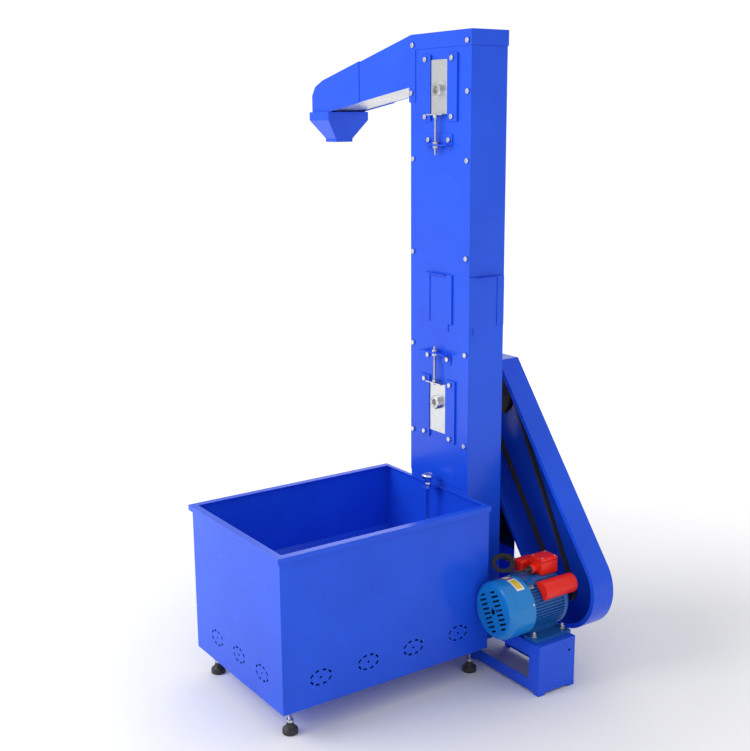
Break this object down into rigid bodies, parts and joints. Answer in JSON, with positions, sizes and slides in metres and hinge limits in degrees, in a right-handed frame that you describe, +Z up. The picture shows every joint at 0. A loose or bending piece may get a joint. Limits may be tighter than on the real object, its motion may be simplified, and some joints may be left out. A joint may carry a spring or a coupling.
{
  "type": "bucket elevator",
  "caption": "Small belt-and-bucket grain elevator with intake hopper, tall leg, angled discharge spout and a guarded V-belt motor drive.",
  "frame": {"origin": "on the floor, under the middle of the leg casing, at the underside of the leg's stand", "axes": "+Z up along the leg; the spout points to -X, the motor stands on the +X side, the hopper on the -Y side"},
  "size_m": [1.0702, 0.928, 1.72],
  "materials": {
    "blue_coat": "glossy blue powder coat",
    "motor_blue": "semi-gloss paint on aluminium",
    "cover_blue": "semi-gloss paint on steel",
    "red_coat": "moulded, semi-gloss",
    "dark_coat": "dark powder coat",
    "galvanised": "bare galvanised sheet",
    "zinc": "bright zinc plate",
    "polished": "polished",
    "steel": "ground steel",
    "cast_steel": "machined casting",
    "bearing": "dark bearing ring",
    "sheave_black": "black casting",
    "belt_fabric": "rubber-covered fabric belt",
    "bucket_plastic": "moulded scoops",
    "vee_rubber": "matt rubber V-belt",
    "foot_black": "black levelling foot",
    "fan_plastic": "moulded",
    "cord_rubber": "soft sheath",
    "plug_plastic": "moulded plug body"
  },
  "bodies": {
    "elevator_frame": {"leg_casing": "blue_coat", "front_panel": "blue_coat", "leg_stand": "blue_coat", "head_cap": "blue_coat", "spout_end": "blue_coat", "spout_floor": "galvanised", "outlet_collar": "blue_coat", "casing_bolts": "zinc", "slide_rails": "blue_coat", "screw_brackets": "blue_coat", "screw_nuts": "zinc", "boot_bearings": "bearing", "bucket_belt": "belt_fabric", "buckets": "bucket_plastic", "door_guides": "blue_coat", "hopper": "blue_coat", "hopper_chute": "blue_coat", "motor_base": "blue_coat", "drive_belt": "vee_rubber", "belt_guard": "blue_coat", "rear_post": "dark_coat", "guard_bracket": "blue_coat"},
    "head_takeup": {"head_slide_front": "zinc", "head_slide_rear": "zinc", "head_bearings": "bearing", "head_screws": "zinc"},
    "head_roller": {"head_shaft": "steel", "head_pulley": "cast_steel"},
    "drive_takeup": {"drive_slide_front": "zinc", "drive_slide_rear": "zinc", "drive_bearings": "bearing", "drive_screws": "zinc"},
    "drive_roller": {"drive_shaft": "steel", "drive_pulley": "cast_steel", "drive_sheave": "sheave_black"},
    "boot_roller": {"boot_shaft": "steel", "boot_pulley": "cast_steel"},
    "motor": {"motor_frame": "motor_blue", "fan_cover": "cover_blue", "stator": "cast_steel", "end_shield": "motor_blue", "junction_box": "red_coat", "cord_gland": "red_coat", "capacitor_near": "red_coat", "capacitor_far": "red_coat", "motor_bolts": "zinc", "cord_tube": "cord_rubber", "cord_coil": "cord_rubber", "plug": "plug_plastic"},
    "motor_rotor": {"rotor": "steel", "cooling_fan": "fan_plastic", "motor_sheave": "sheave_black"},
    "front_door_leaf": {"front_door": "blue_coat"},
    "side_door_leaf": {"side_door": "blue_coat"},
    "gate": {"feed_gate": "galvanised", "gate_handle": "polished"},
    "foot_fl": {"foot_front_left": "foot_black"},
    "foot_fr": {"foot_front_right": "foot_black"},
    "foot_rl": {"foot_rear_left": "foot_black"},
    "foot_rr": {"foot_rear_right": "foot_black"}
  },
  "joints": [
    {"name": "head_takeup", "type": "slide", "parent": "elevator_frame", "child": "head_takeup", "axis": [0, 0, 1], "range_m": [-0.01, 0.01], "deforming": ["bucket_belt", "buckets"]},
    {"name": "head_spin", "type": "hinge", "parent": "head_takeup", "child": "head_roller", "pos_m": [0, 0, 1.572], "axis": [0, 1, 0], "continuous": true},
    {"name": "drive_takeup", "type": "slide", "parent": "elevator_frame", "child": "drive_takeup", "axis": [0, 0, 1], "range_m": [-0.01, 0.01], "deforming": ["drive_belt"]},
    {"name": "drive_spin", "type": "hinge", "parent": "drive_takeup", "child": "drive_roller", "pos_m": [0, 0, 0.728], "axis": [0, 1, 0], "continuous": true},
    {"name": "boot_spin", "type": "hinge", "parent": "elevator_frame", "child": "boot_roller", "pos_m": [0, 0, 0.15], "axis": [0, 1, 0], "continuous": true},
    {"name": "motor_slide", "type": "slide", "parent": "elevator_frame", "child": "motor", "axis": [1, 0, 0], "range_m": [0, 0.01]},
    {"name": "motor_spin", "type": "hinge", "parent": "motor", "child": "motor_rotor", "pos_m": [0.305, 0, 0.222], "axis": [0, 1, 0], "continuous": true},
    {"name": "front_door_slide", "type": "slide", "parent": "elevator_frame", "child": "front_door_leaf", "axis": [0, 0, 1], "range_m": [0, 0.13]},
    {"name": "side_door_slide", "type": "slide", "parent": "elevator_frame", "child": "side_door_leaf", "axis": [0, 0, 1], "range_m": [0, 0.13]},
    {"name": "gate_slide", "type": "slide", "parent": "elevator_frame", "child": "gate", "axis": [0, 0, 1], "range_m": [0, 0.1]},
    {"name": "foot_fl_screw", "type": "slide", "parent": "elevator_frame", "child": "foot_fl", "axis": [0, 0, 1], "range_m": [-0.015, 0.01]},
    {"name": "foot_fr_screw", "type": "slide", "parent": "elevator_frame", "child": "foot_fr", "axis": [0, 0, 1], "range_m": [-0.015, 0.01]},
    {"name": "foot_rl_screw", "type": "slide", "parent": "elevator_frame", "child": "foot_rl", "axis": [0, 0, 1], "range_m": [-0.015, 0.01]},
    {"name": "foot_rr_screw", "type": "slide", "parent": "elevator_frame", "child": "foot_rr", "axis": [0, 0, 1], "range_m": [-0.015, 0.01]}
  ],
  "couplings": [
    {"joint": "head_spin", "follows": "drive_spin", "ratio": 1.12},
    {"joint": "boot_spin", "follows": "drive_spin", "ratio": 1.12},
    {"joint": "motor_spin", "follows": "drive_spin", "ratio": 2}
  ]
}
